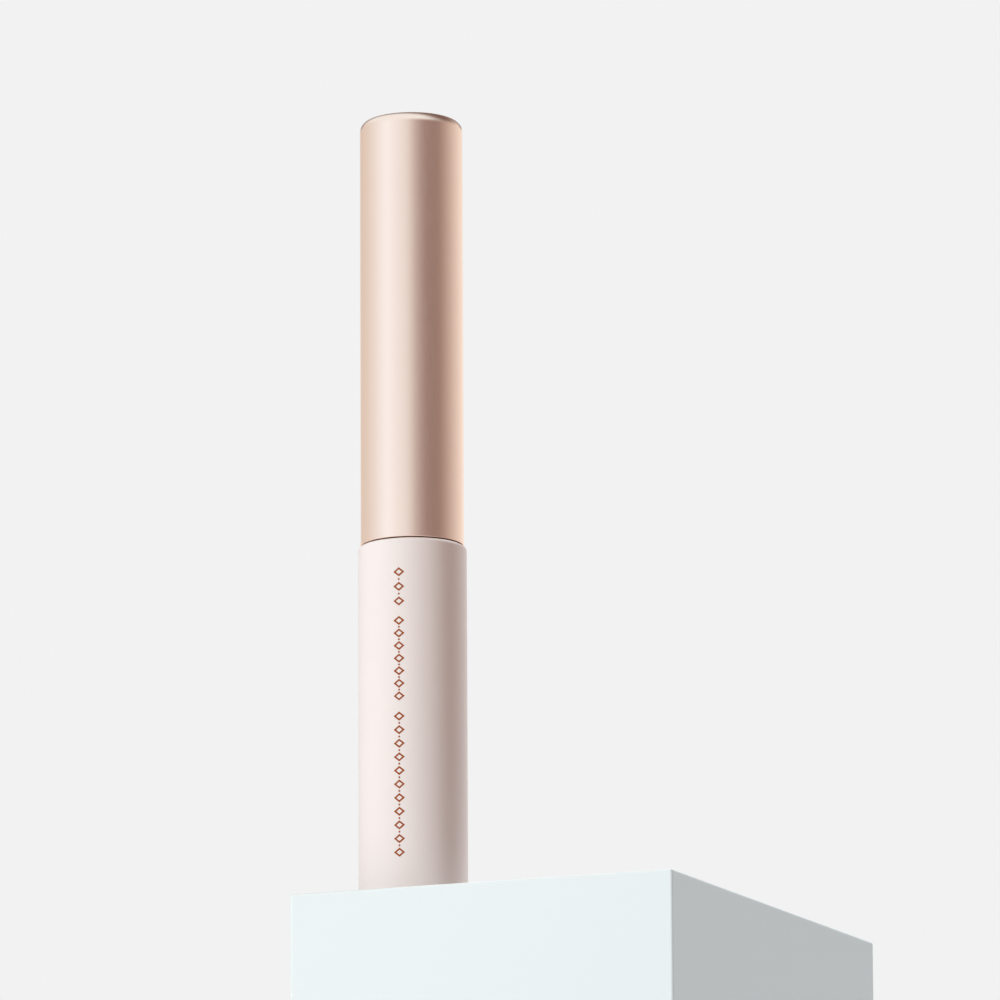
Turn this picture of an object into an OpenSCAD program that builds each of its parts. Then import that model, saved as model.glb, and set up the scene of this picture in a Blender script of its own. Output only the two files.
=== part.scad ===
// Slim mascara: a soft-touch bottle with a threaded neck and a wiper, and a tall
// metal cap that carries the wand. Every piece shares the Z axis, and z = 0 is the
// plane the bottle stands on. The tube is drawn closed, with the wand inside.

/* [Bottle sleeve] */
// Outside diameter of the bottle's sleeve
bottle_d = 16.5; // [14.5:0.1:20]
// Height of the sleeve, from its foot to its shoulder
bottle_h = 55.1; // [45:0.5:68]
// Wall of the sleeve
sleeve_wall = 0.9; // [0.7:0.05:1.2]
// Thickness of the plate that closes the sleeve at its shoulder
shoulder_t = 1.2; // [0.8:0.1:2]
// Radius of the sleeve's shoulder edge
shoulder_r = 0.65; // [0.3:0.05:1.1]
// Radius of the sleeve's foot edge
foot_r = 0.3; // [0.1:0.05:0.4]

/* [Vial] */
// Wall of the vial that holds the paste
vial_wall = 1.1; // [0.8:0.1:1.5]
// Thickness of the vial's floor
vial_floor = 1.3; // [0.8:0.1:2]
// Clearance between the vial and the sleeve round it
vial_gap = 0.25; // [0.1:0.05:0.5]
// Depth of paste on the vial's floor
fill_h = 37; // [20:0.5:40]

/* [Neck and thread] */
// Outside diameter of the neck, under its thread
neck_d = 10.2; // [9:0.1:11]
// Bore of the neck
neck_bore_d = 7.4; // [6:0.1:8]
// Height of the neck above the sleeve's shoulder
neck_h = 10.4; // [9:0.1:13]
// Rise of the thread in one turn
thread_pitch = 2.5; // [2:0.1:3]
// Height of each thread ridge above its wall
thread_depth = 0.45; // [0.3:0.05:0.5]
// Turns of thread on the neck
neck_turns = 1.5; // [1:0.25:1.75]
// Turns of thread in the cap
cap_turns = 1; // [0.5:0.25:1.25]
// Radial gap by which the two thread crests pass each other
crest_gap = 0.08; // [0.05:0.01:0.15]
// Height of the neck thread's first turn above the shoulder
thread_start = 3.2; // [2.8:0.1:4]

/* [Wiper and seal] */
// Wall of the wiper
wiper_wall = 0.5; // [0.4:0.05:0.7]
// Thickness of the wiper's flange on top of the neck
wiper_flange_t = 0.6; // [0.4:0.1:1]
// Length of the wiper's straight part, below its flange
wiper_straight = 5.5; // [4:0.5:8]
// Length of the wiper's cone
wiper_cone = 3; // [2:0.5:5]
// Length of the lip at the cone's end
wiper_lip = 1; // [0.5:0.1:2]
// Height of the bead that snaps the wiper into the neck
wiper_bead = 0.18; // [0.1:0.02:0.3]
// Clearance between the stem and the wiper's lip
lip_gap = 0.2; // [0.1:0.05:0.4]
// Thickness of the seal washer
washer_t = 0.8; // [0.5:0.1:1.2]

/* [Base] */
// Thickness of the plug that closes the sleeve's foot
plug_t = 1.5; // [1:0.1:2]
// Height of the plug's underside above the foot
plug_recess = 0.35; // [0.2:0.05:0.6]
// Height of the ring on the plug that the vial stands on
plug_ring_h = 0.5; // [0.3:0.1:1]
// Diameter of the label under the plug
label_d = 12.4; // [9:0.1:12.6]
// Thickness of the label
label_t = 0.12; // [0.08:0.01:0.2]

/* [Cap] */
// Outside diameter of the cap
cap_d = 15.7; // [15:0.1:19]
// Height of the cap
cap_h = 66.5; // [54:0.5:80]
// Wall of the cap's metal shell
cap_wall = 0.45; // [0.35:0.05:0.6]
// Radius of the cap's top edge
cap_top_r = 1.7; // [0.8:0.1:2.2]
// Radius of the cap's rim edge
cap_rim_r = 0.14; // [0.05:0.01:0.17]
// Gap between the closed cap and the bottle's shoulder
cap_gap = 0.15; // [0.1:0.05:0.6]
// Depth of the inner cap's mouth inside the metal rim
mouth_recess = 0.5; // [0.2:0.1:1]
// Wall of the inner cap round its upper bore
liner_wall = 1.35; // [1.1:0.05:1.6]
// Thickness of the inner cap's ceiling above the neck
ceiling_t = 2.2; // [1.6:0.1:3]
// Length of the steel weight
weight_len = 9; // [6:0.5:14]
// Width of the ledge that the weight rests on
ledge_w = 0.45; // [0.3:0.05:0.6]

/* [Wand] */
// Diameter of the stem
stem_d = 2.1; // [1.8:0.05:3]
// Diameter of the stem's head, in the inner cap's socket
head_d = 3.2; // [2.8:0.1:4]
// Length of the stem's head above the ceiling's underside
head_len = 11; // [7:0.5:13]
// Distance from the cap's rim to the ring round the stem
ring_drop = 2.6; // [1:0.1:5]
// Height of the ring round the stem
ring_rise = 0.06; // [0.03:0.01:0.1]
// Length of the brush along its curve
brush_len = 22.1; // [16:0.1:27]
// Angle that the brush bends through
brush_bend = 13.5; // [2:0.5:16]
// Diameter of the brush over its bristles
brush_d = 3.1; // [2.4:0.05:3.4]
// Diameter of the twisted wire core
wire_d = 0.8; // [0.6:0.05:1]
// Length of wire that is pressed into the stem
wire_grip = 5; // [3:0.5:8]
// Gap between the brush's tip and the vial's floor
tip_gap = 2.1; // [1:0.1:4]

/* [Hidden] */
$fn = 96;

seat_gap = 0.05;                            // clearance between pieces that are seated together
past = 1;                                   // how far a cut runs past the face it opens
bottle_r = bottle_d / 2;
sleeve_bore_r = bottle_r - sleeve_wall;

plug_top_z = plug_recess + plug_t;
plug_edge_r = 0.2;
vial_z = plug_top_z + plug_ring_h + seat_gap;
vial_r = sleeve_bore_r - vial_gap;
vial_bore_r = vial_r - vial_wall;
vial_floor_z = vial_z + vial_floor;
vial_top_z = bottle_h - shoulder_t - seat_gap;
vial_roof_z = vial_top_z - vial_wall;
vial_edge_r = 1.0;
label_pocket_t = label_t + 0.1;

neck_r = neck_d / 2;
neck_bore_r = neck_bore_d / 2;
neck_top_z = bottle_h + neck_h;
neck_edge_r = 0.25;
neck_gap = 0.15;                            // clearance of the neck in the shoulder plate
neck_crest_r = neck_r + thread_depth;
cap_crest_r = neck_crest_r + crest_gap;
mouth_bore_r = cap_crest_r + thread_depth;
ridge_sink = 0.25;                          // how deep a ridge's foot is set into its wall
ridge_root_half = 0.62;                     // half of a ridge's height at its sunk foot
ridge_crest_half = 0.16;                    // half of a ridge's height at its crest
ridge_steps = 36;                           // sections in one turn of thread
runout = 30;                                // degrees over which a ridge fades at each end
neck_thread_z = bottle_h + thread_start;
cap_thread_z = neck_thread_z - thread_pitch / 2;

stem_r = stem_d / 2;
wiper_r = neck_bore_r - 0.02;
wiper_flange_r = neck_r - 0.6;
bead_drop = 2.6;                            // from the neck's top to the wiper's snap bead
lip_bore_r = stem_r + lip_gap;
wiper_top_z = neck_top_z + wiper_flange_t;

cap_r = cap_d / 2;
cap_z = bottle_h + cap_gap;
cap_top_z = cap_z + cap_h;
liner_r = cap_r - cap_wall - seat_gap;
liner_z = cap_z + mouth_recess;
liner_top_z = cap_top_z - cap_wall - seat_gap;
washer_z = wiper_top_z + seat_gap;
ceiling_z = washer_z + washer_t + seat_gap;
ceiling_top_z = ceiling_z + ceiling_t;
liner_bore_r = liner_r - liner_wall;
weight_pocket_r = liner_bore_r + ledge_w;
weight_gap = 0.12;                          // clearance round the weight
weight_z = liner_top_z - weight_len;
weight_edge_r = 0.4;
liner_top_r = cap_top_r - cap_wall;

head_r = head_d / 2;
head_gap = 0.03;                            // clearance of the stem's head in its socket
socket_wall = 1.1;
socket_top_z = ceiling_z + head_len + 0.6;
barb = 0.12;                                // depth of the grooves round the stem's head
flange_r = stem_r + 0.9;                    // the stem's flange, under the ceiling
flange_t = 0.6;
washer_bore_r = flange_r + 0.25;
washer_r = cap_crest_r - 0.3;

bend_r = brush_len / (brush_bend * PI / 180);
brush_drop = bend_r * sin(brush_bend);
brush_reach = bend_r * (1 - cos(brush_bend));
tip_z = vial_floor_z + tip_gap;
stem_end_z = tip_z + brush_drop;
wire_r = wire_d / 2;
wire_gap = 0.03;                            // clearance round the wire
brush_r = brush_d / 2;
channel_r = brush_reach + brush_r + 0.3;    // what the curved brush sweeps, with room
fill_z = vial_floor_z + fill_h;

blush = "#f0e0d8";
rose_gold = "#d8b09a";
milky = "#f4f1ea";
black = "#1a1818";
steel = "#a0a2a5";
paper = "#f7f3ee";

// A solid turned about Z from z = 0 to h, with a round of radius top or bottom at each outer edge.
module turned(r, h, top = 0, bottom = 0) {
    rotate_extrude() {
        translate([0, bottom]) square([r, h - top - bottom]);
        if (top > 0) edge_round(r, h - top, top, 0);
        if (bottom > 0) edge_round(r, bottom, bottom, -bottom);
    }
}

// One rounded end of a turned profile: its centre is at height z, and drop is where its flat part starts.
module edge_round(r, z, round_r, drop) {
    translate([0, z + drop]) square([r - round_r, round_r]);
    translate([r - round_r, z]) circle(round_r);
}

// A ring about Z from z = 0 to h.
module ring(r_out, r_in, h) {
    difference() {
        cylinder(r = r_out, h = h);
        translate([0, 0, -past]) cylinder(r = r_in, h = h + 2 * past);
    }
}

// How far a ridge stands out at an angle along it: 0 at its ends and 1 in its middle.
function fade(angle, last) = min(1, angle / runout, (last - angle) / runout);

// The four corners of a ridge's section at an angle. side is 1 on a shaft and -1 in a bore.
function ridge_section(wall_r, side, z, angle, last) =
    let (crest_r = wall_r + side * (fade(angle, last) * (thread_depth + ridge_sink / 2) - ridge_sink / 2),
         foot_r = wall_r - side * ridge_sink)
    [for (p = [[foot_r, -ridge_root_half], [crest_r, -ridge_crest_half],
               [crest_r, ridge_crest_half], [foot_r, ridge_root_half]])
        [p[0] * cos(angle), p[0] * sin(angle), z + side * p[1]]];

// A right-handed thread ridge of so many turns, rising from height z on a wall of radius wall_r.
module thread_ridge(wall_r, side, z, turns) {
    last = 360 * turns;
    count = round(ridge_steps * turns);
    points = [for (i = [0 : count])
        each ridge_section(wall_r, side, z + thread_pitch * turns * i / count, last * i / count, last)];
    sides = [for (i = [0 : count - 1], k = [0 : 3])
        let (a = 4 * i + k, b = 4 * i + (k + 1) % 4)
        each [[a, b, b + 4], [a, b + 4, a + 4]]];
    ends = [[3, 2, 1, 0], [for (k = [0 : 3]) 4 * count + k]];
    polyhedron(points = points, faces = concat(sides, ends), convexity = 6);
}

// A round rod along the brush's curve, from the stem's end to the tip.
module curved_rod(r) {
    translate([bend_r, 0, stem_end_z]) mirror([1, 0, 0]) rotate([-90, 0, 0])
        rotate_extrude(angle = brush_bend) translate([bend_r, 0]) circle(r);
}

// The sleeve: a rounded tube, open at its foot, with a hole for the neck in its shoulder.
module bottle_shell() color(blush) difference() {
    turned(bottle_r, bottle_h, top = shoulder_r, bottom = foot_r);
    translate([0, 0, -past]) cylinder(r = sleeve_bore_r, h = bottle_h - shoulder_t + past);
    translate([0, 0, bottle_h - shoulder_t - past]) cylinder(r = neck_r + neck_gap, h = shoulder_t + 2 * past);
}

// The vial, with its neck, its thread and the groove for the wiper's bead.
module inner_bottle() color(milky) difference() {
    union() {
        translate([0, 0, vial_z]) turned(vial_r, vial_top_z - vial_z, top = vial_edge_r, bottom = vial_edge_r);
        translate([0, 0, vial_roof_z]) turned(neck_r, neck_top_z - vial_roof_z, top = neck_edge_r);
        thread_ridge(neck_r, 1, neck_thread_z, neck_turns);
    }
    translate([0, 0, vial_floor_z]) turned(vial_bore_r, vial_roof_z - vial_floor_z, bottom = vial_edge_r / 2);
    translate([0, 0, vial_roof_z - past]) cylinder(r = neck_bore_r, h = neck_top_z - vial_roof_z + 2 * past);
    translate([0, 0, neck_top_z - bead_drop]) rotate_extrude()
        translate([neck_bore_r, 0]) circle(wiper_bead + seat_gap);
}

// The wiper: a soft cup pressed into the neck, with a cone and a lip that scrapes the stem.
module wiper() color(milky) {
    straight_z = neck_top_z - wiper_straight;
    cone_z = straight_z - wiper_cone;
    lip_r = lip_bore_r + wiper_wall;
    rotate_extrude() polygon([
        [wiper_r - wiper_wall, wiper_top_z],
        [wiper_flange_r, wiper_top_z],
        [wiper_flange_r, neck_top_z + seat_gap / 2],
        [wiper_r, neck_top_z + seat_gap / 2],
        [wiper_r, neck_top_z - bead_drop + wiper_bead],
        [wiper_r + wiper_bead, neck_top_z - bead_drop],
        [wiper_r, neck_top_z - bead_drop - wiper_bead],
        [wiper_r, straight_z],
        [lip_r, cone_z],
        [lip_r, cone_z - wiper_lip],
        [lip_bore_r, cone_z - wiper_lip],
        [lip_bore_r, cone_z + wiper_wall / 2],
        [wiper_r - wiper_wall, straight_z + wiper_wall / 2],
    ]);
}

// The plug that closes the foot: a disc with a pocket for the label and a ring under the vial.
module base_plug() color(blush) {
    difference() {
        union() {
            translate([0, 0, plug_recess]) turned(sleeve_bore_r - seat_gap, plug_t, bottom = plug_edge_r);
            translate([0, 0, plug_top_z - past / 2])
                ring(vial_bore_r, vial_bore_r - vial_wall, plug_ring_h + past / 2);
        }
        translate([0, 0, plug_recess - past])
            cylinder(d = label_d + 4 * seat_gap, h = label_pocket_t + past);
    }
}

// The round label in the plug's pocket.
module base_label() color(paper)
    translate([0, 0, plug_recess + label_pocket_t - label_t - 0.01]) cylinder(d = label_d, h = label_t);

// The paste, as a used tube holds it: all round the wall, with the channel that the brush sweeps.
module mascara_paste() color(black) difference() {
    translate([0, 0, vial_floor_z + 0.02])
        turned(vial_bore_r - 0.02, fill_z - vial_floor_z, bottom = vial_edge_r / 2);
    translate([0, 0, tip_z - brush_r / 2]) turned(channel_r, fill_z - tip_z + brush_r, bottom = brush_r / 2);
}

// The washer that seals the neck: it lies on the wiper's flange, loose on the wand.
module seal_washer() color(milky) translate([0, 0, washer_z]) ring(washer_r, washer_bore_r, washer_t);

// The cap's metal shell, drawn from sheet, with a rounded top edge.
module cap_shell() color(rose_gold) difference() {
    translate([0, 0, cap_z]) turned(cap_r, cap_h, top = cap_top_r, bottom = cap_rim_r);
    translate([0, 0, cap_z - past]) turned(cap_r - cap_wall, cap_h - cap_wall + past, top = cap_top_r - cap_wall);
}

// The inner cap: threads at its mouth, a socket for the stem, and a pocket for the weight at its top.
module inner_cap() color(black) difference() {
    union() {
        difference() {
            translate([0, 0, liner_z]) turned(liner_r, liner_top_z - liner_z, top = liner_top_r);
            translate([0, 0, liner_z - past]) cylinder(r = mouth_bore_r, h = ceiling_z - liner_z + past);
            translate([0, 0, ceiling_top_z]) cylinder(r = liner_bore_r, h = cap_h);
            translate([0, 0, weight_z - seat_gap]) cylinder(r = weight_pocket_r, h = cap_h);
        }
        translate([0, 0, ceiling_z + ceiling_t / 2])
            cylinder(r = head_r + head_gap + socket_wall, h = socket_top_z - ceiling_z - ceiling_t / 2);
        thread_ridge(mouth_bore_r, -1, cap_thread_z, cap_turns);
    }
    translate([0, 0, ceiling_z - past]) cylinder(r = head_r + head_gap, h = head_len + past + seat_gap);
}

// The steel weight in the top of the cap.
module cap_weight() color(steel) translate([0, 0, weight_z])
    turned(weight_pocket_r - weight_gap, weight_len - seat_gap, top = liner_top_r, bottom = weight_edge_r);

// The stem: a grooved head in the socket, a flange under the ceiling, a fine ring, and a bore for the wire.
module stem() color(black) difference() {
    union() {
        translate([0, 0, stem_end_z]) turned(stem_r, ceiling_z - stem_end_z, bottom = stem_r / 4);
        translate([0, 0, ceiling_z - flange_t]) turned(flange_r, flange_t - 0.02);
        translate([0, 0, ceiling_z - flange_t / 2]) turned(head_r, head_len + flange_t / 2, top = head_r / 4);
        translate([0, 0, cap_z - ring_drop]) rotate_extrude()
            translate([stem_r - ring_rise, 0]) circle(2 * ring_rise);
    }
    for (level = [0.35, 0.6, 0.85])
        translate([0, 0, ceiling_z + level * head_len]) rotate_extrude()
            translate([head_r, 0]) circle(barb);
    translate([0, 0, stem_end_z - past]) cylinder(r = wire_r + wire_gap, h = wire_grip + past + seat_gap);
}

// The twisted wire core: straight in the stem, then curved to the tip.
module brush_wire() color(steel) {
    translate([0, 0, stem_end_z]) cylinder(r = wire_r, h = wire_grip);
    curved_rod(wire_r);
}

// The room that the bristles take up, along the wire's curve.
module brush_bristles() color(black) difference() {
    curved_rod(brush_r);
    curved_rod(wire_r + wire_gap);
}

bottle_shell();
inner_bottle();
wiper();
base_plug();
base_label();
mascara_paste();
seal_washer();
cap_weight();
cap_shell();
inner_cap();
stem();
brush_wire();
brush_bristles();
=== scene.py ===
import math

import bpy
import numpy as np
from mathutils import Matrix, Vector


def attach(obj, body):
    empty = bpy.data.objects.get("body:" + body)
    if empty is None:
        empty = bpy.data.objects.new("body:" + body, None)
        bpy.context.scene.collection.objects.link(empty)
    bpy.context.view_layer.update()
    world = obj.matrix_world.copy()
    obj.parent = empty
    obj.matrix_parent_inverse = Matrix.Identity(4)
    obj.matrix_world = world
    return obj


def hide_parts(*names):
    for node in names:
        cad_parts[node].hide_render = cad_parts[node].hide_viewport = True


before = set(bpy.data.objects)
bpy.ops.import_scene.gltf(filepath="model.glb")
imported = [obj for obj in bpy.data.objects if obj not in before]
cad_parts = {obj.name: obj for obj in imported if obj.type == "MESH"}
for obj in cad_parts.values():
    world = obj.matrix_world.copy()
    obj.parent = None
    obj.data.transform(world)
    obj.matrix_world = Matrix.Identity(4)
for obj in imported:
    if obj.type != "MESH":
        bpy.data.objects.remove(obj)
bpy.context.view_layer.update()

MM = 0.001

# Sizes of the CAD part that the pieces below are built to, in millimetres.
SLEEVE_R, SLEEVE_BORE_R, SLEEVE_H = 8.25, 7.35, 55.1
SHOULDER_R, SHOULDER_T, FOOT_R = 0.65, 1.2, 0.3
NECK_HOLE_R = 5.25
CAP_R, CAP_WALL, CAP_Z, CAP_TOP = 7.85, 0.45, 55.25, 121.75
CAP_TOP_R, CAP_RIM_R = 1.7, 0.14
STEM_END_Z = 27.70
BEND_R, BEND = 93.794, math.radians(13.5)
BRUSH_LEN = BEND_R * BEND
WIRE_GRIP, WIRE_LEAD = 5.0, 2.2


# ---------------------------------------------------------------- mesh helpers

def new_mesh(name, verts, faces, sharp_deg=35):
    """A mesh object from points in millimetres, smooth but for its sharp edges."""
    mesh = bpy.data.meshes.new(name)
    mesh.from_pydata([tuple(MM * c for c in v) for v in verts], [], faces)
    mesh.validate()
    mesh.polygons.foreach_set("use_smooth", [True] * len(mesh.polygons))
    mesh.set_sharp_from_angle(angle=math.radians(sharp_deg))
    mesh.update()
    obj = bpy.data.objects.new(name, mesh)
    bpy.context.scene.collection.objects.link(obj)
    return obj


def arc(r, z, radius, start_deg, end_deg, steps=10):
    """Points of a round in a turned outline, about (r, z)."""
    turns = np.radians(np.linspace(start_deg, end_deg, steps + 1))
    return [(r + radius * math.cos(t), z + radius * math.sin(t)) for t in turns]


def supported(outline, near=0.05, longer_than=0.5):
    """The outline with extra points near the ends of its long straights, which keep them flat when shaded."""
    points = []
    for a, b in zip(outline, outline[1:] + outline[:1]):
        points.append(a)
        length = math.dist(a, b)
        if length > longer_than:
            for share in (near / length, 1 - near / length):
                points.append((a[0] + (b[0] - a[0]) * share, a[1] + (b[1] - a[1]) * share))
    return points


def lathe(name, outline, sides=256):
    """A solid turned about Z from a closed outline of (r, z); a point on the axis is one vertex."""
    verts, rings = [], []
    angles = np.linspace(0, 2 * math.pi, sides, endpoint=False)
    for r, z in outline:
        if r < 1e-6:
            rings.append([len(verts)] * sides)
            verts.append((0, 0, z))
        else:
            rings.append(list(range(len(verts), len(verts) + sides)))
            verts += [(r * math.cos(a), r * math.sin(a), z) for a in angles]
    faces = []
    for low, high in zip(rings, rings[1:] + rings[:1]):
        for i in range(sides):
            j = (i + 1) % sides
            face = []
            for v in (low[i], low[j], high[j], high[i]):
                if v not in face:
                    face.append(v)
            if len(face) > 2:
                faces.append(face)
    return new_mesh(name, verts, faces)


def frames_on_brush(s):
    """Centres on the brush's curve, s below the stem's end, with outward, sideways and along vectors."""
    t = np.maximum(s, 0) / BEND_R
    zero = np.zeros_like(t)
    centre = np.stack([BEND_R - BEND_R * np.cos(t), zero, STEM_END_Z - BEND_R * np.sin(t)], -1)
    centre[..., 2] -= np.minimum(s, 0)
    out = np.stack([-np.cos(t), zero, -np.sin(t)], -1)
    side = np.stack([zero, zero + 1, zero], -1)
    along = np.stack([np.sin(t), zero, -np.cos(t)], -1)
    return centre, out, side, along


# ---------------------------------------------------------------- material helpers

def rgb(r, g, b):
    return (r, g, b, 1.0)


def add_node(tree, kind, inputs=(), **settings):
    """A shader node with its settings made, and its inputs linked to a socket or set to a value."""
    node = tree.nodes.new(kind)
    for key, value in settings.items():
        setattr(node, key, value)
    for key, value in dict(inputs).items():
        if isinstance(value, bpy.types.NodeSocket):
            tree.links.new(value, node.inputs[key])
        else:
            node.inputs[key].default_value = value
    return node


NOISE_MIDDLE = (0.3, 0.7)


class Shader:
    """A Principled material, with short calls for the nodes that drive it. Lengths are in millimetres."""

    def __init__(self, name, **sockets):
        self.mat = bpy.data.materials.new(name)
        self.mat.use_nodes = True
        self.tree = self.mat.node_tree
        self.bsdf = self.tree.nodes["Principled BSDF"]
        for key, value in sockets.items():
            self.bsdf.inputs[key.replace("_", " ")].default_value = value
        coords = self.tree.nodes.new("ShaderNodeTexCoord").outputs["Object"]
        self.mm = self.node("ShaderNodeVectorMath", {0: coords, 3: 1 / MM}, operation="SCALE").outputs[0]
        self.xyz = self.node("ShaderNodeSeparateXYZ", {0: self.mm}).outputs

    def node(self, kind, inputs=(), **settings):
        return add_node(self.tree, kind, inputs, **settings)

    def math(self, operation, a, b=0.0):
        return self.node("ShaderNodeMath", {0: a, 1: b}, operation=operation).outputs[0]

    def stretched(self, x, y, z, vector=None):
        """Coordinates scaled on each axis: the object's own in millimetres, unless others are given."""
        inputs = {0: vector or self.mm, 1: (x, y, z)}
        return self.node("ShaderNodeVectorMath", inputs, operation="MULTIPLY").outputs[0]

    def around(self):
        """Coordinates wrapped round Z: the angle in radians, the radius and the height."""
        angle = self.math("ARCTAN2", self.xyz[1], self.xyz[0])
        return self.node("ShaderNodeCombineXYZ", {0: angle, 1: self.radius(), 2: self.xyz[2]}).outputs[0]

    def radius(self):
        squares = [self.math("MULTIPLY", self.xyz[i], self.xyz[i]) for i in (0, 1)]
        return self.math("SQRT", self.math("ADD", *squares))

    def noise(self, per_mm, detail=3.0, rough=0.5, vector=None):
        inputs = {"Vector": vector or self.mm, "Scale": per_mm, "Detail": detail, "Roughness": rough}
        return self.node("ShaderNodeTexNoise", inputs).outputs["Fac"]

    def spread(self, value, low, high, to_low=0.0, to_high=1.0):
        """A smooth step that takes low..high to to_low..to_high."""
        inputs = {"Value": value, "From Min": low, "From Max": high, "To Min": to_low, "To Max": to_high}
        return self.node("ShaderNodeMapRange", inputs, interpolation_type="SMOOTHSTEP").outputs[0]

    def blend(self, share, a, b):
        """A colour from a to b by share."""
        node = self.node("ShaderNodeMix", {0: share, 6: a, 7: b}, data_type="RGBA")
        return node.outputs[2]

    def drive(self, socket, value):
        self.tree.links.new(value, self.bsdf.inputs[socket])

    def wander(self, pattern, low, high):
        """Roughness from low to high across the middle of a noise pattern."""
        self.drive("Roughness", self.spread(pattern, *NOISE_MIDDLE, low, high))

    def bump(self, height, strength, distance, under=None):
        inputs = {"Height": height, "Strength": strength, "Distance": distance * MM}
        if under is not None:
            inputs["Normal"] = under
        normal = self.node("ShaderNodeBump", inputs).outputs[0]
        self.drive("Normal", normal)
        return normal


def dress(obj, shader):
    """Gives an object one material."""
    obj.data.materials.clear()
    obj.data.materials.append(shader.mat)
    return obj


# ---------------------------------------------------------------- materials

PASTE_STAIN = rgb(0.014, 0.012, 0.013)


def soft_touch():
    s = Shader("soft_touch_blush", Roughness=0.55, Sheen_Weight=0.12, Sheen_Roughness=0.45)
    s.bsdf.inputs["Specular IOR Level"].default_value = 0.35
    cloud = s.noise(0.18, detail=4)
    s.drive("Base Color", s.blend(cloud, rgb(0.85, 0.775, 0.75), rgb(0.875, 0.805, 0.78)))
    s.wander(s.noise(1.1, detail=5), 0.50, 0.60)
    broad = s.bump(s.noise(1.6, detail=2), 0.10, 0.02)
    s.bump(s.noise(26, detail=2, rough=0.6), 0.16, 0.006, under=broad)
    return s


def rose_gold():
    """Metal with drawn lines up the side, turned rings on the top and painted shade of deeper copper on its
    lowest edge.
    """
    s = Shader("rose_gold_metal", Metallic=1.0, Roughness=0.22)
    lines = s.noise(1.0, detail=3, vector=s.stretched(60.0, 1.0, 0.25, vector=s.around()))
    spun = s.noise(1.0, detail=2, vector=s.stretched(0.8, 14.0, 0.0, vector=s.around()))
    height = s.xyz[2]
    on_top = s.spread(height, CAP_TOP - 0.5, CAP_TOP - 0.1)
    grain = s.math("ADD", s.math("MULTIPLY", lines, s.math("SUBTRACT", 1.0, on_top)),
                   s.math("MULTIPLY", spun, on_top))
    s.drive("Roughness", s.spread(grain, 0.25, 0.75, 0.19, 0.26))
    patch = s.noise(0.12, detail=3)
    gold = s.blend(patch, rgb(0.895, 0.672, 0.572), rgb(0.905, 0.688, 0.588))
    # Painted shade: the lowest edge is tinted deeper copper to stand for the brown shade in the gap above the
    # sleeve.
    rim = s.spread(height, CAP_Z + 0.06, CAP_Z + 0.01)
    s.drive("Base Color", s.blend(rim, gold, rgb(0.86, 0.50, 0.36)))
    s.bump(grain, 0.035, 0.01)
    return s


def copper_foil():
    s = Shader("copper_foil", Metallic=1.0, Roughness=0.34)
    crinkle = s.noise(7.0, detail=4)
    s.drive("Base Color", s.blend(crinkle, rgb(0.31, 0.060, 0.010), rgb(0.40, 0.085, 0.016)))
    s.wander(crinkle, 0.28, 0.42)
    s.bump(s.noise(12.0, detail=3), 0.25, 0.006)
    return s


def milky_vial():
    """Milky plastic with paste smudged at its mouth and smeared inside it."""
    neck_top, smudge_from = 65.4, 63.2
    clean_above, coated_below = 54.0, 52.0
    s = Shader("milky_vial", Roughness=0.32, Subsurface_Weight=0.35, Subsurface_Scale=0.0015, IOR=1.49)
    s.bsdf.inputs["Subsurface Radius"].default_value = (1.0, 0.9, 0.8)
    smear = s.noise(0.9, detail=5, rough=0.6)
    near_mouth = s.spread(s.xyz[2], smudge_from, neck_top)
    inside = s.spread(s.radius(), 4.6, 3.9)
    smudge = s.math("MULTIPLY", s.math("MULTIPLY", near_mouth, 0.35), s.spread(smear, 0.54, 0.70))
    stain = s.math("MAXIMUM", smudge, s.math("MULTIPLY", inside, s.spread(smear, 0.47, 0.6)))
    film = s.math("MULTIPLY", inside, s.spread(s.xyz[2], clean_above, coated_below))
    stain = s.math("MAXIMUM", stain, film)
    body = s.blend(s.noise(0.3), rgb(0.80, 0.78, 0.74), rgb(0.86, 0.84, 0.80))
    s.drive("Base Color", s.blend(stain, body, PASTE_STAIN))
    s.wander(s.noise(3.0, detail=4), 0.26, 0.38)
    s.bump(s.noise(4.0, detail=3), 0.08, 0.01)
    return s


def stained_wiper():
    """Soft plastic, black with paste in the bore and in patches round its rim."""
    s = Shader("wiper_ldpe", Roughness=0.42, Subsurface_Weight=0.25, Subsurface_Scale=0.001)
    bore = s.spread(s.radius(), 3.75, 3.0)
    rim = s.math("MULTIPLY", s.spread(s.radius(), 4.4, 3.3), s.spread(s.noise(1.2, detail=5), 0.42, 0.56))
    wet = s.math("MAXIMUM", bore, rim)
    s.drive("Base Color", s.blend(wet, rgb(0.82, 0.80, 0.76), PASTE_STAIN))
    s.drive("Roughness", s.spread(wet, 0.0, 1.0, 0.42, 0.2))
    s.bump(s.noise(2.6, detail=4), 0.3, 0.03)
    return s


def plug_plastic():
    s = Shader("plug_plastic", Roughness=0.45)
    s.drive("Base Color", s.blend(s.noise(0.4), rgb(0.80, 0.71, 0.68), rgb(0.84, 0.75, 0.72)))
    s.wander(s.noise(5.0, detail=4), 0.40, 0.52)
    s.bump(s.noise(11.0, detail=3), 0.18, 0.012)
    return s


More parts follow.
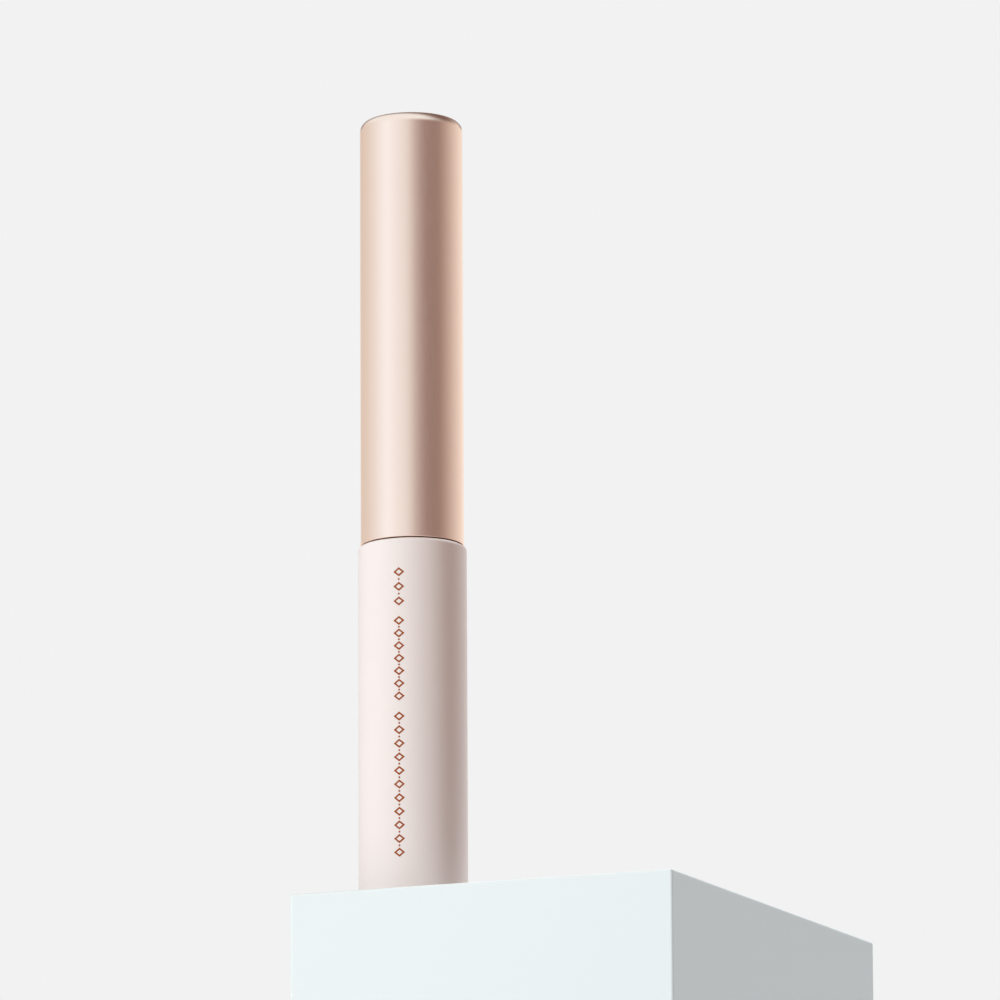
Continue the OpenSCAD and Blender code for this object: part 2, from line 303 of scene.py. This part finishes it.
def paper_label():
    """Paper with two printed rings and a dot of the shade inside."""
    s = Shader("label_paper", Roughness=0.6)
    r = s.radius()

    def line(at, half_width):
        return s.spread(s.math("ABSOLUTE", s.math("SUBTRACT", r, at)), half_width, half_width * 0.6)

    rings = s.math("MAXIMUM", line(5.6, 0.09), line(5.25, 0.05))
    dot = s.spread(r, 1.75, 1.68)
    paper = s.blend(s.noise(6.0, detail=5), rgb(0.83, 0.80, 0.76), rgb(0.88, 0.86, 0.82))
    printed = s.blend(rings, paper, rgb(0.45, 0.14, 0.05))
    s.drive("Base Color", s.blend(dot, printed, rgb(0.02, 0.017, 0.018)))
    s.wander(s.noise(8.0), 0.52, 0.66)
    s.bump(s.noise(16.0, detail=4), 0.2, 0.008)
    return s


def wet_paste():
    s = Shader("paste", Roughness=0.18, Coat_Weight=0.4, Coat_Roughness=0.12)
    s.drive("Base Color", s.blend(s.noise(0.8), rgb(0.009, 0.008, 0.009), rgb(0.016, 0.014, 0.015)))
    s.wander(s.noise(1.6, detail=4), 0.12, 0.32)
    s.bump(s.noise(1.4, detail=4), 0.5, 0.12)
    return s


def washer_foam():
    """Closed-cell foam, wet with paste towards its bore."""
    s = Shader("washer_foam", Roughness=0.75)
    cells = s.node("ShaderNodeTexVoronoi", {"Vector": s.mm, "Scale": 9.0}).outputs["Distance"]
    wet = s.math("MULTIPLY", s.spread(s.radius(), 3.9, 2.8), s.spread(s.noise(1.3, detail=5), 0.40, 0.55))
    s.drive("Base Color", s.blend(wet, rgb(0.76, 0.75, 0.73), rgb(0.02, 0.018, 0.018)))
    s.drive("Roughness", s.spread(wet, 0.0, 1.0, 0.78, 0.3))
    s.bump(cells, 0.4, 0.03)
    return s


def turned_steel():
    s = Shader("weight_steel", Metallic=1.0, Roughness=0.3)
    feed = s.noise(1.0, detail=2, vector=s.stretched(0.5, 9.0, 9.0, vector=s.around()))
    s.drive("Base Color", s.blend(s.noise(0.5), rgb(0.50, 0.51, 0.53), rgb(0.60, 0.61, 0.62)))
    s.wander(feed, 0.22, 0.42)
    s.bump(feed, 0.3, 0.02)
    return s


def black_liner():
    s = Shader("black_liner", Roughness=0.38)
    s.drive("Base Color", s.blend(s.noise(0.6), rgb(0.020, 0.019, 0.020), rgb(0.032, 0.030, 0.031)))
    s.wander(s.noise(4.0, detail=4), 0.30, 0.46)
    s.bump(s.noise(9.0, detail=3), 0.12, 0.01)
    return s


def black_stem():
    """Glossy plastic with thin smears of paste, more of them low down."""
    s = Shader("black_stem", Roughness=0.22, Coat_Weight=0.08, Coat_Roughness=0.08)
    s.bsdf.inputs["Specular IOR Level"].default_value = 0.32
    low = s.spread(s.xyz[2], 40.0, 30.0)
    smear = s.math("MULTIPLY", s.math("ADD", s.math("MULTIPLY", low, 0.8), 0.2),
                   s.spread(s.noise(1.4, detail=5, vector=s.stretched(1.6, 1.6, 0.5)), 0.45, 0.6))
    s.drive("Base Color", s.blend(smear, rgb(0.006, 0.006, 0.007), rgb(0.011, 0.010, 0.010)))
    s.drive("Roughness", s.spread(smear, 0.0, 1.0, 0.17, 0.36))
    s.bump(smear, 0.2, 0.02)
    return s


def wire_steel():
    s = Shader("wire_steel", Metallic=1.0, Roughness=0.35)
    paste = s.spread(s.noise(2.2, detail=4), 0.36, 0.5)
    s.drive("Base Color", s.blend(paste, rgb(0.46, 0.46, 0.48), rgb(0.03, 0.028, 0.03)))
    s.drive("Roughness", s.spread(paste, 0.0, 1.0, 0.3, 0.5))
    s.bump(paste, 0.3, 0.02)
    return s


def bristle_nylon():
    s = Shader("bristle_nylon", Roughness=0.42)
    s.drive("Base Color", s.blend(s.noise(1.5, detail=3), rgb(0.008, 0.007, 0.008), rgb(0.024, 0.021, 0.022)))
    s.wander(s.noise(3.0, detail=3), 0.28, 0.58)
    s.bump(s.noise(14.0, detail=3), 0.3, 0.012)
    return s


def painted_block(name, color, lift, glow=(0.0, 0.0, 0.0)):
    """Matt paint that drifts from its colour to one lighter by lift, with a faint emitted glow that is
    painted light.
    """
    s = Shader(name, Roughness=0.8, Emission_Color=rgb(*glow), Emission_Strength=1.0)
    s.bsdf.inputs["Specular IOR Level"].default_value = 0.2
    lighter = tuple(c * lift for c in color)
    s.drive("Base Color", s.blend(s.noise(0.03, detail=4), rgb(*color), rgb(*lighter)))
    s.wander(s.noise(0.6, detail=3), 0.75, 0.88)
    s.bump(s.noise(1.2, detail=4), 0.05, 0.03)
    return s


# ---------------------------------------------------------------- pieces

def make_sleeve():
    plate_z = SLEEVE_H - SHOULDER_T
    foot_chamfer, hole_round, corner_chamfer = 0.12, 0.1, 0.25
    outline = (
        [(SLEEVE_BORE_R, foot_chamfer), (SLEEVE_BORE_R + foot_chamfer, 0.0)]
        + arc(SLEEVE_R - FOOT_R, FOOT_R, FOOT_R, -90, 0, 8)
        + arc(SLEEVE_R - SHOULDER_R, SLEEVE_H - SHOULDER_R, SHOULDER_R, 0, 90, 16)
        + arc(NECK_HOLE_R + hole_round, SLEEVE_H - hole_round, hole_round, 90, 180, 4)
        + [(NECK_HOLE_R, plate_z), (SLEEVE_BORE_R - corner_chamfer, plate_z),
           (SLEEVE_BORE_R, plate_z - corner_chamfer)]
    )
    sleeve = lathe("bottle_sleeve", supported(outline))
    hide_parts("bottle_shell")
    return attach(dress(sleeve, soft_touch()), "bottle")


def make_cap():
    inner_r, inner_top_r = CAP_R - CAP_WALL, CAP_TOP_R - CAP_WALL
    inner_top = CAP_TOP - CAP_WALL
    outline = (
        arc(inner_r + CAP_RIM_R, CAP_Z + CAP_RIM_R, CAP_RIM_R, 180, 270, 6)
        + arc(CAP_R - CAP_RIM_R, CAP_Z + CAP_RIM_R, CAP_RIM_R, -90, 0, 6)
        + arc(CAP_R - CAP_TOP_R, CAP_TOP - CAP_TOP_R, CAP_TOP_R, 0, 90, 28)
        + [(0.0, CAP_TOP), (0.0, inner_top)]
        + arc(inner_r - inner_top_r, inner_top - inner_top_r, inner_top_r, 90, 0, 12)
    )
    cap = lathe("cap_tube", supported(outline), sides=320)
    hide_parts("cap_shell")
    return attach(dress(cap, rose_gold()), "cap_and_wand")


# How far the foil stands out of the sleeve and reaches into it, and the turn at which it runs up.
FOIL_PROUD, FOIL_SUNK = 0.022, 0.02
FOIL_TURN = math.radians(-14.6)


def on_sleeve(loop, r):
    """A loop of (across, up) points wrapped round the sleeve at radius r."""
    wrapped = []
    for across, up in loop:
        angle = across / SLEEVE_R + FOIL_TURN
        wrapped.append((r * math.sin(angle), -r * math.cos(angle), up))
    return wrapped


def divided(loop, cuts=4):
    """A closed loop with every side cut up, so that it bends with the sleeve."""
    return [(a[0] + (b[0] - a[0]) * k / cuts, a[1] + (b[1] - a[1]) * k / cuts)
            for a, b in zip(loop, loop[1:] + loop[:1]) for k in range(cuts)]


def foil_plate(verts, faces, outline):
    """Adds one closed flat plate of foil."""
    base, n = len(verts), len(outline)
    verts += on_sleeve(outline, SLEEVE_R + FOIL_PROUD) + on_sleeve(outline, SLEEVE_R - FOIL_SUNK)
    faces.append(tuple(base + i for i in range(n)))
    faces.append(tuple(base + n + i for i in reversed(range(n))))
    faces += [(base + i, base + n + i, base + n + (i + 1) % n, base + (i + 1) % n) for i in range(n)]


def foil_ring(verts, faces, outer, inner):
    """Adds one closed flat ring of foil between two outlines with matching points."""
    outer, inner = divided(outer), divided(inner)
    base, n = len(verts), len(outer)
    proud, sunk = SLEEVE_R + FOIL_PROUD, SLEEVE_R - FOIL_SUNK
    loops = [(outer, proud), (inner, proud), (inner, sunk), (outer, sunk)]
    for loop, r in loops:
        verts += on_sleeve(loop, r)
    for row in range(len(loops)):
        a, b = base + row * n, base + (row + 1) % len(loops) * n
        faces += [(a + i, a + (i + 1) % n, b + (i + 1) % n, b + i) for i in range(n)]


def lozenge(z, half_w, half_h):
    return [(0, z + half_h), (-half_w, z), (0, z - half_h), (half_w, z)]


def make_ornament():
    """Three runs of fine foil lozenges up the sleeve, with a dot between each pair."""
    runs = ((6.0, 28.2, 11), (29.9, 42.9, 7), (44.5, 50.4, 3))  # from, to, lozenges
    half_w, half_h, line, dot = 0.85, 0.70, 0.24, 0.18
    slant = math.hypot(half_w, half_h)
    hole_w, hole_h = half_w - line * slant / half_h, half_h - line * slant / half_w
    verts, faces = [], []
    for low, high, count in runs:
        centres = np.linspace(low + half_h, high - half_h, count)
        for z in centres:
            foil_ring(verts, faces, lozenge(z, half_w, half_h), lozenge(z, hole_w, hole_h))
        for z in (centres[1:] + centres[:-1]) / 2:
            foil_plate(verts, faces, lozenge(z, dot, dot))
    foil = new_mesh("foil_ornament", verts, faces)
    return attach(dress(foil, copper_foil()), "bottle")


def tube_strands(paths, radius, sides=10):
    """Closed tubes along lists of points, each with its own across and up vectors."""
    verts, faces = [], []
    angles = np.linspace(0, 2 * math.pi, sides, endpoint=False)
    for points, across, up in paths:
        base = len(verts)
        for p, a, u in zip(points, across, up):
            verts += [tuple(p + radius * (math.cos(t) * a + math.sin(t) * u)) for t in angles]
        for k in range(len(points) - 1):
            for i in range(sides):
                j = (i + 1) % sides
                low, high = base + k * sides, base + (k + 1) * sides
                faces.append((low + i, low + j, high + j, high + i))
        faces.append(tuple(base + i for i in reversed(range(sides))))
        faces.append(tuple(base + (len(points) - 1) * sides + i for i in range(sides)))
    return verts, faces


def make_wire():
    """Two strands twisted together, straight in the stem and then along the brush's curve."""
    strand_r, strand_offset, tip_gap, step = 0.2, 0.19, 0.05, 0.08
    s = np.arange(-WIRE_GRIP, BRUSH_LEN - tip_gap, step)
    centre, out, side, _ = frames_on_brush(s)
    paths = []
    for start in (0.0, math.pi):
        turn = (2 * math.pi * s / WIRE_LEAD + start)[:, None]
        across = np.cos(turn) * out + np.sin(turn) * side
        up = -np.sin(turn) * out + np.cos(turn) * side
        paths.append((centre + strand_offset * across, across, up))
    wire = new_mesh("core_wire", *tube_strands(paths, strand_r))
    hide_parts("brush_wire")
    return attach(dress(wire, wire_steel()), "cap_and_wand")


# Bristles: those in the double screw, short ones between its turns, and long strays, many near the tip.
SCREW_COUNT, FILL_COUNT, STRAY_COUNT, TIP_STRAYS = 3800, 1400, 150, 100
LONGEST, ROOT = 1.5, 0.15
SCREW_SWING, CLUMPING = 0.42, 0.85
END_ZONE, TAPER_ZONE, TIP_ZONE = 1.0, 1.2, 3.5


def make_bristles():
    """Fibres held between the wire's two strands, so that they stand in a double screw along it.

    Each has a place s along the wire, a turn round it, a swing away from the screw's middle and a length. It
    leans and curls along the wire and sweeps round it; gather draws the screw's fibres together into teeth.
    """
    rng = np.random.default_rng(7)
    count = SCREW_COUNT + FILL_COUNT + STRAY_COUNT
    fill_end = SCREW_COUNT + FILL_COUNT
    in_screw, in_fill, in_stray = slice(SCREW_COUNT), slice(SCREW_COUNT, fill_end), slice(fill_end, count)
    first, last = 0.1, BRUSH_LEN - 0.15
    s = rng.uniform(first, last, count)
    s[-TIP_STRAYS:] = last - rng.uniform(0, TIP_ZONE, TIP_STRAYS)
    swing = np.concatenate([
        rng.normal(0, SCREW_SWING, SCREW_COUNT),
        rng.uniform(-1.57, 1.57, FILL_COUNT),
        rng.normal(0, 0.5, STRAY_COUNT),
    ])
    # The screw's fibres are longest in its middle.
    length = 0.84 + 0.60 * np.exp(-(swing / 0.6) ** 2) + rng.normal(0, 0.03, count)
    length[in_fill] = rng.uniform(0.55, 0.80, FILL_COUNT)
    length[in_stray] = rng.uniform(1.3, LONGEST, STRAY_COUNT)
    taper = np.clip((BRUSH_LEN - s) / TAPER_ZONE, 0, 1)
    length = np.minimum(length * (0.9 + 0.1 * taper), LONGEST)
    turn = 2 * math.pi * s / WIRE_LEAD + swing + math.pi * rng.integers(0, 2, count)
    lean = rng.normal(0, 0.035, count)
    curl = rng.normal(0, 0.035, count)
    curl[in_stray] = rng.uniform(-0.7, 0.7, STRAY_COUNT)
    gather = np.zeros(count)
    gather[in_screw] = CLUMPING * swing[in_screw] * WIRE_LEAD / (2 * math.pi)
    for shift in (lean, curl, gather):
        # Close to either end nothing leans out past it.
        shift[s > BRUSH_LEN - END_ZONE] = np.minimum(shift[s > BRUSH_LEN - END_ZONE], 0.0)
        shift[s < END_ZONE] = np.maximum(shift[s < END_ZONE], 0.0)
    sweep = rng.normal(0, 0.08, count)

    centre, out, side, along = frames_on_brush(s)
    ray = np.cos(turn)[:, None] * out + np.sin(turn)[:, None] * side
    spin = -np.sin(turn)[:, None] * out + np.cos(turn)[:, None] * side
    shares, thick = (0.0, 0.4, 0.75, 1.0), (0.045, 0.042, 0.036, 0.022)
    rings = []
    for share, half in zip(shares, thick):
        reach = (ROOT + (length - ROOT) * share)[:, None]
        shift = ((lean * share + curl * share ** 2) * length + gather * share)[:, None]
        twist = (sweep * share ** 2 * length)[:, None]
        point = centre + reach * ray + shift * along + twist * spin
        for a, u in ((1, 0), (0, 1), (-1, 0), (0, -1)):
            rings.append(point + half * (a * along + u * spin))
    verts = np.stack(rings, 1).reshape(-1, 3)

    # One fibre is four rings of four points: its root and tip, then the sides between the rings.
    fibre = [(0, 1, 2, 3), (15, 14, 13, 12)]
    for ring in (0, 4, 8):
        fibre += [(ring + i, ring + 4 + i, ring + 4 + (i + 1) % 4, ring + (i + 1) % 4) for i in range(4)]
    faces = (np.arange(count)[:, None, None] * 16 + np.array(fibre)[None]).reshape(-1, 4)
    bristles = new_mesh("bristles", verts.tolist(), faces.tolist(), sharp_deg=80)
    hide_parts("brush_bristles")
    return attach(dress(bristles, bristle_nylon()), "cap_and_wand")


# ---------------------------------------------------------------- camera, stage and light

CAMERA_AT = (0, -1.5, -0.26752)
CAMERA_TURNS = (0.509, 12.4075, -0.283)  # degrees to the right, up and of roll
CAMERA_LENS = 363.886


def make_camera():
    """A long lens below the block's top, turned up to the tube."""
    yaw, pitch, roll = (math.radians(a) for a in CAMERA_TURNS)
    forward = Vector((math.sin(yaw) * math.cos(pitch), math.cos(yaw) * math.cos(pitch), math.sin(pitch)))
    right = Vector((math.cos(yaw), -math.sin(yaw), 0))
    up = right.cross(forward)
    right, up = (right * math.cos(roll) + up * math.sin(roll), up * math.cos(roll) - right * math.sin(roll))
    data = bpy.data.cameras.new("camera")
    data.lens, data.sensor_width = CAMERA_LENS, 36.0
    data.clip_start, data.clip_end = 0.05, 30.0
    camera = bpy.data.objects.new("camera", data)
    turn = Matrix((right, up, -forward)).transposed()
    camera.matrix_world = Matrix.Translation(CAMERA_AT) @ turn.to_4x4()
    bpy.context.scene.collection.objects.link(camera)
    bpy.context.scene.camera = camera


FLOOR_Z = -300.0
BLOCK_CORNERS = [(-18.46, -10.07), (38.18, -30.46), (70.77, 33.76), (14.13, 54.15)]
# Lit and shaded copies of one paint: the top is painted darker as painted shade, and the right and back faces
# get a cooler copy with a painted glow of light.
LIT_PAINT, TOP_SHADE_PAINT, SHADE_PAINT = (0.825, 0.89, 0.90), (0.66, 0.70, 0.71), (0.80, 0.855, 0.86)
SHADE_GLOW = (0.034, 0.094, 0.115)
FLOOR_PAINT = (0.84, 0.84, 0.84)


def make_stage():
    """The block that the tube stands on, from the floor up to z = 0, and a round floor that fades out."""
    verts = [(x, y, z) for z in (FLOOR_Z, 0.0) for x, y in BLOCK_CORNERS]
    faces = [(3, 2, 1, 0), (4, 5, 6, 7)] + [(i, (i + 1) % 4, 4 + (i + 1) % 4, 4 + i) for i in range(4)]
    block = new_mesh("block", verts, faces)
    edge = block.modifiers.new("edge", "BEVEL")
    edge.width, edge.segments, edge.harden_normals = 0.35 * MM, 3, True
    dress(block, painted_block("block_paint", LIT_PAINT, 1.02))
    block.data.materials.append(painted_block("block_top_shade_paint", TOP_SHADE_PAINT, 1.02).mat)
    block.data.materials.append(painted_block("block_shade_paint", SHADE_PAINT, 1.02, SHADE_GLOW).mat)
    # Painted shade: the top face takes the darker copy of the paint, and the right and back faces take the
    # cooler copy with its painted glow.
    top, right, back = 1, 3, 4
    for face, paint_index in ((top, 1), (right, 2), (back, 2)):
        block.data.polygons[face].material_index = paint_index

    sides, reach = 96, 2600.0
    angles = np.linspace(0, 2 * math.pi, sides, endpoint=False)
    rim = [(reach * math.cos(a), reach * math.sin(a), FLOOR_Z) for a in angles]
    floor = new_mesh("floor", rim, [tuple(range(sides))])
    clear_beyond, solid_within = 2400.0, 700.0
    paint = painted_block("floor_paint", FLOOR_PAINT, 1.01)
    paint.drive("Alpha", paint.spread(paint.radius(), clear_beyond, solid_within))
    dress(floor, paint)
    floor.visible_glossy = False


# The studio's colour round the horizon, by azimuth in degrees from the front towards +X.
STUDIO = (
    (-180, (0.93, 0.88, 0.80)), (-150, (0.79, 0.74, 0.68)), (-118, (0.85, 0.86, 0.82)),
    (-101, (0.90, 0.95, 0.95)), (-76, (1.00, 1.13, 1.20)), (-57, (1.09, 1.28, 1.42)),
    (-36, (1.00, 1.12, 1.18)), (-18, (0.93, 1.03, 1.08)), (-7, (0.85, 0.91, 0.94)),
    (0, (0.74, 0.75, 0.76)), (9, (0.59, 0.55, 0.55)), (20, (0.46, 0.40, 0.39)),
    (31, (0.36, 0.28, 0.26)), (40, (0.343, 0.262, 0.243)), (57, (0.343, 0.262, 0.243)),
    (67, (0.38, 0.30, 0.27)), (82, (0.52, 0.44, 0.41)), (101, (0.70, 0.63, 0.59)),
    (118, (0.85, 0.80, 0.76)), (151, (1.07, 1.03, 0.95)), (180, (0.93, 0.88, 0.80)),
)
# What the camera sees behind, the even fill, and the ceiling's dark back right and bright front left.
BACKDROP = (0.888, 0.888, 0.888)
FILL = (0.225, 0.103, 0.058)
CEILING = (0.20, 0.13, 0.11)
OVERHEAD = (1.01, 1.17, 1.22)


def make_world():
    """A pale backdrop for the camera, a ring of light and a ceiling for reflections, and an even fill."""
    world = bpy.data.worlds.new("studio")
    world.use_nodes = True
    tree = world.node_tree
    tree.nodes.clear()

    def node(kind, inputs=(), **settings):
        return add_node(tree, kind, inputs, **settings)

    def maths(operation, a, b=0.0):
        return node("ShaderNodeMath", {0: a, 1: b}, operation=operation).outputs[0]

    def mix(share, a, b):
        return node("ShaderNodeMix", {0: share, 6: a, 7: b}, data_type="RGBA").outputs[2]

    def ease(value, low, high):
        inputs = {"Value": value, "From Min": low, "From Max": high}
        return node("ShaderNodeMapRange", inputs, interpolation_type="SMOOTHSTEP").outputs[0]

    direction = node("ShaderNodeTexCoord").outputs["Generated"]
    x, y, z = node("ShaderNodeSeparateXYZ", {0: direction}).outputs
    azimuth = maths("ARCTAN2", x, maths("MULTIPLY", y, -1.0))
    place = maths("ADD", maths("DIVIDE", azimuth, 2 * math.pi), 0.5)
    ring = node("ShaderNodeValToRGB", {0: place})
    stops = ring.color_ramp.elements
    for i, (degrees, color) in enumerate(STUDIO):
        at = degrees / 360 + 0.5
        stop = stops[0] if i == 0 else stops.new(at)
        stop.position, stop.color = at, rgb(*color)
    stops.remove(stops[-1])  # the ramp's own last stop
    band = ease(maths("ABSOLUTE", z), 0.30, 0.75)
    across = maths("SQRT", maths("SUBTRACT", 1.0, maths("MULTIPLY", z, z)))
    to_front_left = maths("MULTIPLY", maths("ADD", x, y), -0.7071)
    left = maths("DIVIDE", to_front_left, maths("MAXIMUM", across, 0.5))
    ceiling = mix(ease(left, -0.95, 0.2), rgb(*CEILING), rgb(*OVERHEAD))
    level = mix(band, ring.outputs[0], ceiling)
    high_behind = maths("MULTIPLY", ease(y, 0.72, 0.90), ease(z, 0.24, 0.34))
    level = mix(high_behind, level, rgb(*CEILING))
    ray = node("ShaderNodeLightPath").outputs
    level = mix(ray["Is Glossy Ray"], rgb(*FILL), level)
    shown = mix(ray["Is Camera Ray"], level, rgb(*BACKDROP))
    background = node("ShaderNodeBackground", {"Color": shown})
    node("ShaderNodeOutputWorld", {0: background.outputs[0]})
    world.cycles.sampling_method = "NONE"
    bpy.context.scene.world = world


def softbox(name, azimuth, elevation, distance, size, power, color):
    """A square lamp that faces the tube's middle, unseen by the camera and in reflections."""
    a, e = math.radians(azimuth), math.radians(elevation)
    middle = Vector((0, 0, 0.06))
    away = Vector((math.sin(a) * math.cos(e), -math.cos(a) * math.cos(e), math.sin(e)))
    data = bpy.data.lights.new(name, "AREA")
    data.shape, data.size, data.energy, data.color = "SQUARE", size, power, color
    lamp = bpy.data.objects.new(name, data)
    lamp.location = middle + distance * away
    lamp.rotation_euler = away.to_track_quat("Z", "Y").to_euler()
    lamp.visible_camera = lamp.visible_glossy = False
    bpy.context.scene.collection.objects.link(lamp)


def make_lights():
    softbox("key", -49, 25, 1.5, 0.45, 19.4, (0.842, 0.961, 1.0))
    softbox("top", 0, 90, 1.5, 0.3, 4.0, (1.0, 0.97, 0.94))
    softbox("rim", 135, 50, 1.5, 0.45, 19.5, (0.842, 0.938, 1.0))


# ---------------------------------------------------------------- the scene

bpy.context.scene.view_settings.view_transform = "Standard"
make_camera()
make_world()
make_lights()
make_stage()

make_sleeve()
make_ornament()
make_cap()
make_wire()
make_bristles()
# The pieces that keep their CAD shape.
kept = {
    "inner_bottle": milky_vial, "wiper": stained_wiper, "base_plug": plug_plastic,
    "base_label": paper_label, "mascara_paste": wet_paste, "seal_washer": washer_foam,
    "cap_weight": turned_steel, "inner_cap": black_liner, "stem": black_stem,
}
for name, look in kept.items():
    dress(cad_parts[name], look())
